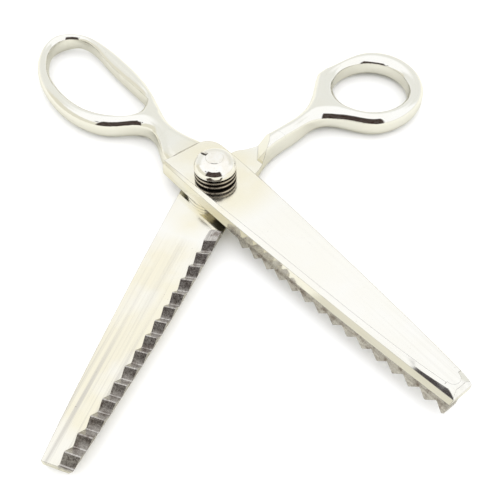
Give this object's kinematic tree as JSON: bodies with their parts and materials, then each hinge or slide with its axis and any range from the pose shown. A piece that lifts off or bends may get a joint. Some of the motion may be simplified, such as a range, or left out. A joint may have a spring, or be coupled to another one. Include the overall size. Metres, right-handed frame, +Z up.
{
  "type": "pinking shears",
  "caption": "Pinking shears: two forged halves with V-toothed edges, a long finger bow and a round thumb ring, joined by a sprung pivot bolt with a round nut.",
  "frame": {"origin": "on the pivot axis, in the plane of the table that the lower blade lies on", "axes": "+Z up along the pivot axis, out of the nut; the blades point towards -Y and open by equal angles to either side of it; +X to the right when seen from the blades' side"},
  "size_m": [0.1313, 0.1699, 0.0168],
  "materials": {
    "plated_forging": "polished nickel-chrome plate",
    "ground_steel": "ground and unplated",
    "plated_hardware": "polished plate",
    "spring_steel": "oil-darkened spring steel",
    "bronze": "plain bearing bronze"
  },
  "bodies": {
    "lower_half": {"lower_blade": "plated_forging", "lower_tooth_bar": "ground_steel", "pivot_bolt": "plated_hardware", "bolt_key": "ground_steel", "cap_nut": "plated_hardware", "blade_washer": "bronze"},
    "upper_half": {"upper_blade": "plated_forging", "upper_tooth_bar": "ground_steel", "pivot_bush": "bronze"},
    "spring_pack": {"seat_washer": "spring_steel", "disc_spring_1": "spring_steel", "disc_spring_2": "spring_steel", "disc_spring_3": "spring_steel", "disc_spring_4": "spring_steel", "thrust_washer": "spring_steel"}
  },
  "joints": [
    {"name": "blade_pivot", "type": "hinge", "parent": "lower_half", "child": "upper_half", "pos_m": [0, 0, 0.0047], "axis": [0, 0, 1], "range_deg": [-58.8, 20]},
    {"name": "spring_pack_turn", "type": "hinge", "parent": "lower_half", "child": "spring_pack", "pos_m": [0, 0, 0.0094], "axis": [0, 0, 1], "range_deg": [-30, 11]}
  ],
  "couplings": [
    {"joint": "spring_pack_turn", "follows": "blade_pivot", "ratio": 0.5}
  ]
}
